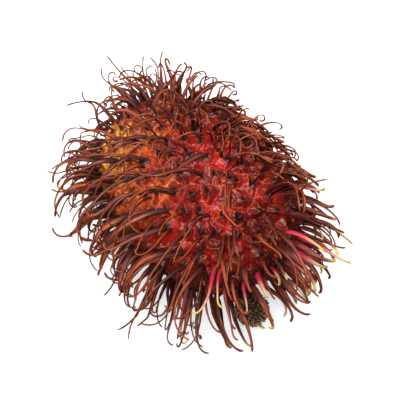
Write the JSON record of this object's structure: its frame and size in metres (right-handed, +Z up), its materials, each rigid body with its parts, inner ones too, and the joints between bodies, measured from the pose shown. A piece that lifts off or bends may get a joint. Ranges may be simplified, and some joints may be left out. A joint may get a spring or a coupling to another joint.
{
  "type": "rambutan",
  "caption": "Picked rambutan lying on its side: an oblong crimson rind covered in tubercles and long curling soft spines, with a small bristly brown knob beside its stem end.",
  "frame": {"origin": "middle of the small flat spot under the fruit, which it rests on", "axes": "+X along the fruit from its apex to its stem end, +Z up from the surface it lies on"},
  "size_m": [0.0728, 0.0557, 0.0433],
  "materials": {
    "rind": "moist waxy crimson rind, going orange and ochre towards the apex, with dull brown spines",
    "dried_knob": "dried, matt dark brown bristles with tan ends"
  },
  "bodies": {
    "root": {"spiny_rind": "rind", "bristly_knob": "dried_knob"}
  },
  "joints": []
}
